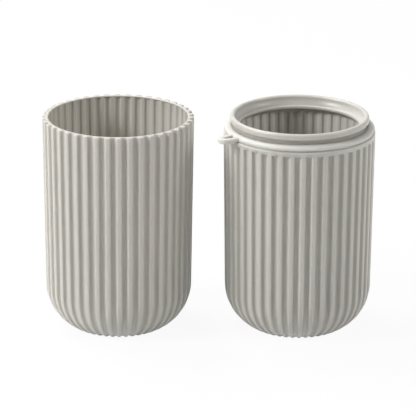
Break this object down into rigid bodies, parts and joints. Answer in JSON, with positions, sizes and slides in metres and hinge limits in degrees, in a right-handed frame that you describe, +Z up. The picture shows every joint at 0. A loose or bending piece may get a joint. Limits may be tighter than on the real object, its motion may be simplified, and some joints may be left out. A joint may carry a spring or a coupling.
{
  "type": "travel toothbrush holder",
  "caption": "Ribbed travel toothbrush holder: a base cup with a neck and soft ring, and a cover that doubles as a rinsing cup and turns over to close it.",
  "frame": {"origin": "on the table, midway between the axes of the two cups as they stand side by side", "axes": "+X from the cover towards the base, +Z up, -Y the front, which the pull loop is turned towards"},
  "size_m": [0.158, 0.072, 0.1052],
  "materials": {
    "cup_plastic": "satin warm light grey, moulded",
    "collar_plastic": "satin warm light grey, moulded smooth",
    "ring_rubber": "soft silicone, warm light grey"
  },
  "bodies": {
    "base": {"base_cup": "cup_plastic", "neck_collar": "collar_plastic"},
    "cover": {"cover_cup": "cup_plastic"},
    "ring": {"seal_ring": "ring_rubber"}
  },
  "joints": [
    {"name": "cover_flip", "type": "hinge", "parent": "base", "child": "cover", "pos_m": [0, 0, 0.10207], "axis": [0, 1, 0], "range_deg": [0, 180]},
    {"name": "ring_turn", "type": "hinge", "parent": "base", "child": "ring", "pos_m": [0.043, 0, 0.099], "axis": [0, 0, 1], "continuous": true}
  ]
}
